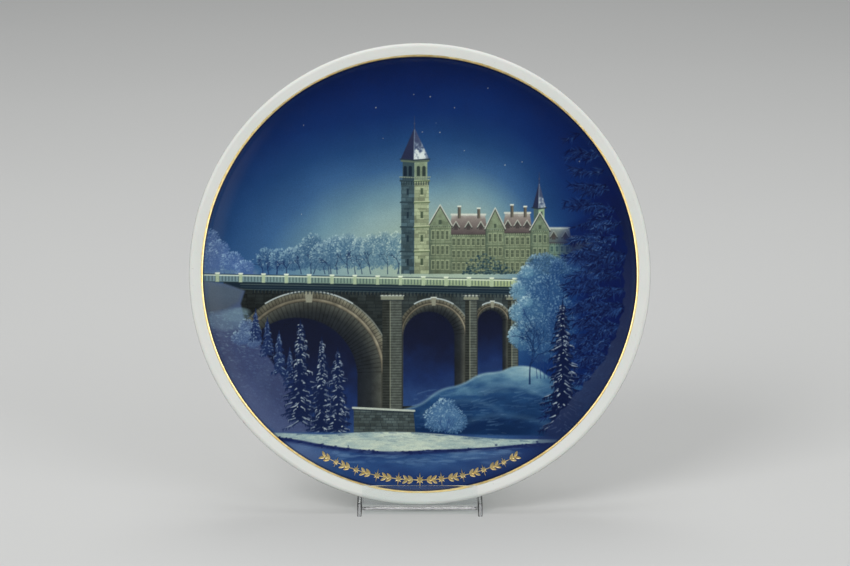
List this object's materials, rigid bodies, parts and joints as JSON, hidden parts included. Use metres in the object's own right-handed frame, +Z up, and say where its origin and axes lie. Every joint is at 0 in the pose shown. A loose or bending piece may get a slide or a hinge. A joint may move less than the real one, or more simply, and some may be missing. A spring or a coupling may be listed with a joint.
{
  "type": "souvenir plate",
  "caption": "Round porcelain display plate with a printed winter picture and gold line, leaning on a low clear acrylic stand that it lifts off.",
  "frame": {"origin": "on the table, in the middle of the bounding box's bottom", "axes": "+Z up, the plate's face towards -Y, +X to the viewer's right"},
  "size_m": [0.215, 0.08, 0.2116],
  "materials": {
    "porcelain": "glossy glaze, unglazed on the foot",
    "picture_ink": "on-glaze print, glossy",
    "gold": "burnished bright gold",
    "stamp_ink": "underglaze print",
    "clear_acrylic": "clear, polished faces and sawn edges"
  },
  "bodies": {
    "stand": {"stand_left_cheek": "clear_acrylic", "stand_right_cheek": "clear_acrylic", "stand_cradle": "clear_acrylic"},
    "plate": {"porcelain_body": "porcelain", "winter_picture": "picture_ink", "gold_line": "gold", "gold_garland": "gold", "back_stamp": "stamp_ink"}
  },
  "joints": [
    {"name": "plate_lift", "type": "slide", "parent": "stand", "child": "plate", "axis": [0, 0.2588, 0.9659], "range_m": [0, 0.12]}
  ]
}
